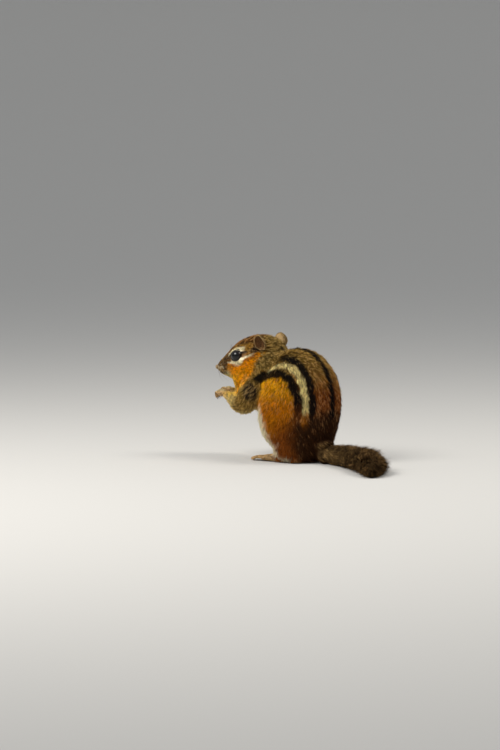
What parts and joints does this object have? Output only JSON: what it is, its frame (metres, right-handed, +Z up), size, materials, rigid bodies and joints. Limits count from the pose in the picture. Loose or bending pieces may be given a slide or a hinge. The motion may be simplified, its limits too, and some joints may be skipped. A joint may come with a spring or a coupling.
{
  "type": "chipmunk",
  "caption": "Eastern chipmunk sitting upright on its haunches, forepaws held together under its chin, head turned a little left, back arched, tail laid out behind and curved to its left.",
  "frame": {"origin": "on the floor under the rump, in the trunk's plane of symmetry, on the flat that the animal sits on", "axes": "+Z up, the animal faces -Y and its left side is at +X"},
  "size_m": [0.0661, 0.1699, 0.0814],
  "materials": {
    "coat_head": "short fur",
    "coat_body": "soft striped fur",
    "coat_tail": "long bushy fur",
    "ear": "thin skin with very short fur",
    "paw": "skin with sparse short fur",
    "nose": "moist bare skin",
    "eye": "wet and glossy"
  },
  "bodies": {
    "root": {"head": "coat_head", "nose": "nose", "ear_left": "ear", "ear_right": "ear", "eye_left": "eye", "eye_right": "eye", "neck": "coat_body", "trunk": "coat_body", "foreleg_left": "coat_body", "foreleg_right": "coat_body", "forepaw_left": "paw", "forepaw_right": "paw", "hindleg_left": "coat_body", "hindleg_right": "coat_body", "hindfoot_left": "paw", "hindfoot_right": "paw", "tail_base": "coat_tail", "tail_middle": "coat_tail", "tail_tip": "coat_tail"}
  },
  "joints": []
}
